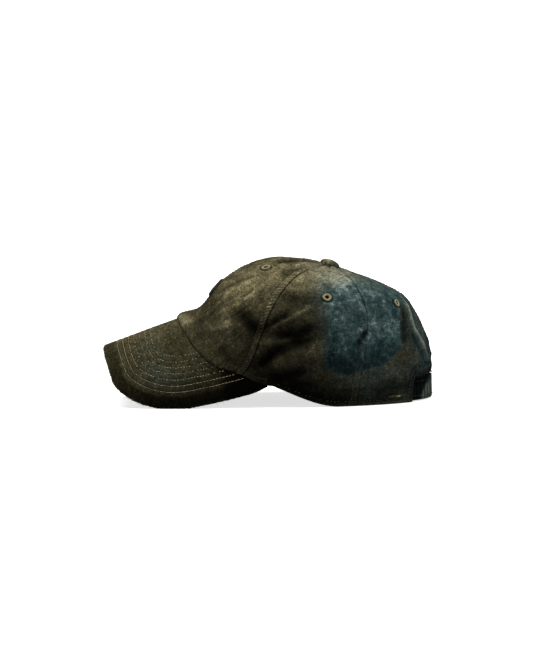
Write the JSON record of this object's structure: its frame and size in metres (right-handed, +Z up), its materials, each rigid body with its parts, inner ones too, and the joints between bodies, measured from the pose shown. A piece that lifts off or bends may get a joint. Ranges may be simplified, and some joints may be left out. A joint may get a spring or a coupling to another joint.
{
  "type": "baseball cap",
  "caption": "Soft unstructured baseball cap in washed canvas with a curved, stitched visor and an adjustable strap and buckle at the back.",
  "frame": {"origin": "on the table, under the middle of the bounding box", "axes": "+Z up; the visor points to -Y, the strap is at +Y, and the wearer's left is +X"},
  "size_m": [0.1578, 0.2724, 0.118],
  "materials": {
    "canvas": "washed dark olive cotton canvas",
    "visor_canvas": "washed dark olive cotton canvas, top-stitched",
    "board": "stiff visor board",
    "sweatband": "cotton twill",
    "seam_tape": "woven tape",
    "thread": "tan thread",
    "patch": "embroidered",
    "label": "blank satin",
    "steel": "plain",
    "brass": "antique, worn"
  },
  "bodies": {
    "crown": {"front_panel_left": "canvas", "front_panel_right": "canvas", "side_panel_left": "canvas", "side_panel_right": "canvas", "back_panel_left": "canvas", "back_panel_right": "canvas", "top_button_cover": "canvas", "buckle_loop": "canvas", "visor_top_cover": "visor_canvas", "visor_under_cover": "visor_canvas", "visor_board": "board", "sweatband": "sweatband", "seam_tape_front": "seam_tape", "seam_tape_back": "seam_tape", "seam_tape_front_left": "seam_tape", "seam_tape_front_right": "seam_tape", "seam_tape_back_left": "seam_tape", "seam_tape_back_right": "seam_tape", "arch_binding": "seam_tape", "eyelet_front_left": "thread", "eyelet_front_right": "thread", "eyelet_side_left": "thread", "eyelet_side_right": "thread", "eyelet_back_left": "thread", "eyelet_back_right": "thread", "tuck_slot_stitching": "thread", "strap_bar_tack": "thread", "front_patch": "patch", "size_label": "label", "care_label": "label", "top_button_core": "steel", "top_button_washer": "steel", "buckle_frame": "brass", "buckle_pin": "brass"},
    "strap": {"strap": "canvas"},
    "buckle_lever": {"buckle_lever": "brass"}
  },
  "joints": [
    {"name": "strap_slide", "type": "hinge", "parent": "crown", "child": "strap", "pos_m": [-0.005, 0.07125, 0.0105], "axis": [0, 0, 1], "range_deg": [-5, 5]},
    {"name": "buckle_lever_hinge", "type": "hinge", "parent": "crown", "child": "buckle_lever", "pos_m": [-0.03147, 0.13184, 0.0105], "axis": [0, 0, 1], "range_deg": [0, 110]}
  ]
}
